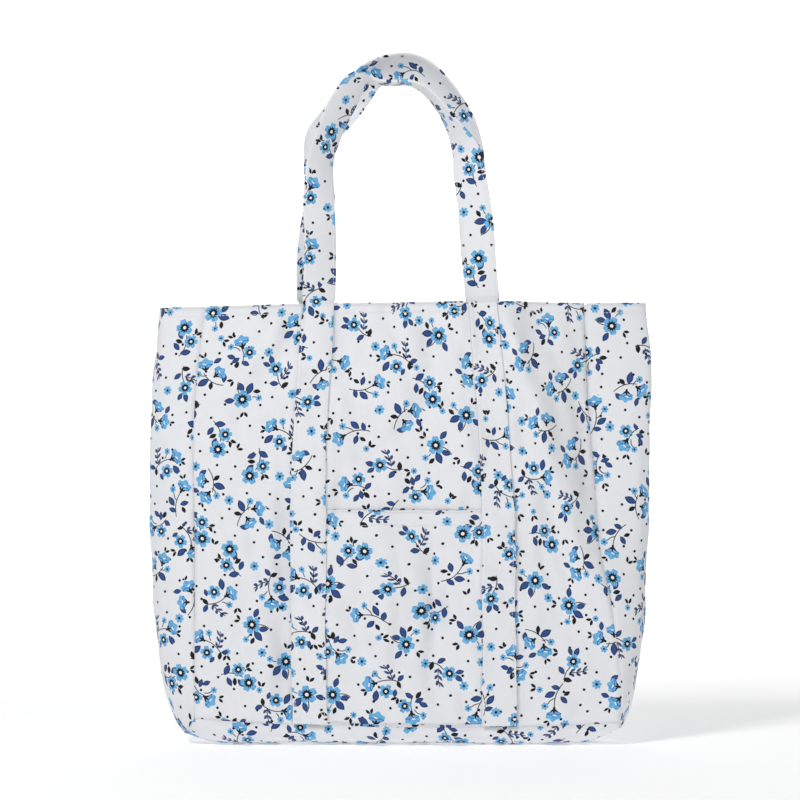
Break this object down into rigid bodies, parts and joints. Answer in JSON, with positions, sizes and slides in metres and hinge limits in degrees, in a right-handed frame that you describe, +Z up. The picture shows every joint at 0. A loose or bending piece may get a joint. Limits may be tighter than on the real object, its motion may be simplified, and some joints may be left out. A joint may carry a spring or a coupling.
{
  "type": "knitting bag",
  "caption": "Upright printed fabric knitting bag with side gussets, a flat-bottomed base, a front pocket between its sewn straps, and strap handles.",
  "frame": {"origin": "middle of the flat base that the bag stands on", "axes": "+Z up, +X along the bag's width, front wall with the pocket facing -Y"},
  "size_m": [0.4416, 0.0818, 0.612],
  "materials": {
    "printed_cloth": "plain-weave cotton with a small blue and navy floral print on off-white",
    "printed_strap": "double cloth strap with the same print, edge-stitched",
    "binding_tape": "white woven binding tape",
    "thread": "white sewing thread"
  },
  "bodies": {
    "bag_body": {"back_mouth_hem": "printed_cloth", "back_mouth_stitching": "thread", "back_panel": "printed_cloth", "back_seam_binding": "binding_tape", "back_strap_left": "printed_strap", "back_strap_left_stitching": "thread", "back_strap_right": "printed_strap", "back_strap_right_stitching": "thread", "base_gusset": "printed_cloth", "left_corner_binding": "binding_tape", "left_gusset": "printed_cloth", "left_mouth_hem": "printed_cloth", "left_mouth_stitching": "thread", "right_corner_binding": "binding_tape", "right_gusset": "printed_cloth", "right_mouth_hem": "printed_cloth", "right_mouth_stitching": "thread"},
    "front_wall": {"front_mouth_hem": "printed_cloth", "front_mouth_stitching": "thread", "front_panel": "printed_cloth", "front_pocket": "printed_cloth", "front_seam_binding": "binding_tape", "front_strap_left": "printed_strap", "front_strap_left_stitching": "thread", "front_strap_right": "printed_strap", "front_strap_right_stitching": "thread", "pocket_hem": "printed_cloth", "pocket_stitching": "thread"},
    "front_handle": {"front_handle": "printed_strap", "front_handle_stitching": "thread"},
    "back_handle": {"back_handle": "printed_strap", "back_handle_stitching": "thread"}
  },
  "joints": [
    {"name": "mouth_open", "type": "hinge", "parent": "bag_body", "child": "front_wall", "pos_m": [0, -0.0355, 0.02], "axis": [1, 0, 0], "range_deg": [0, 4.5], "deforming": ["left_gusset", "right_gusset", "left_mouth_hem", "right_mouth_hem", "left_mouth_stitching", "right_mouth_stitching"]},
    {"name": "front_handle_swing", "type": "hinge", "parent": "front_wall", "child": "front_handle", "pos_m": [0, -0.03815, 0.39025], "axis": [1, 0, 0], "range_deg": [0, 165]},
    {"name": "back_handle_swing", "type": "hinge", "parent": "bag_body", "child": "back_handle", "pos_m": [0, 0.03815, 0.39025], "axis": [-1, 0, 0], "range_deg": [0, 165]}
  ]
}
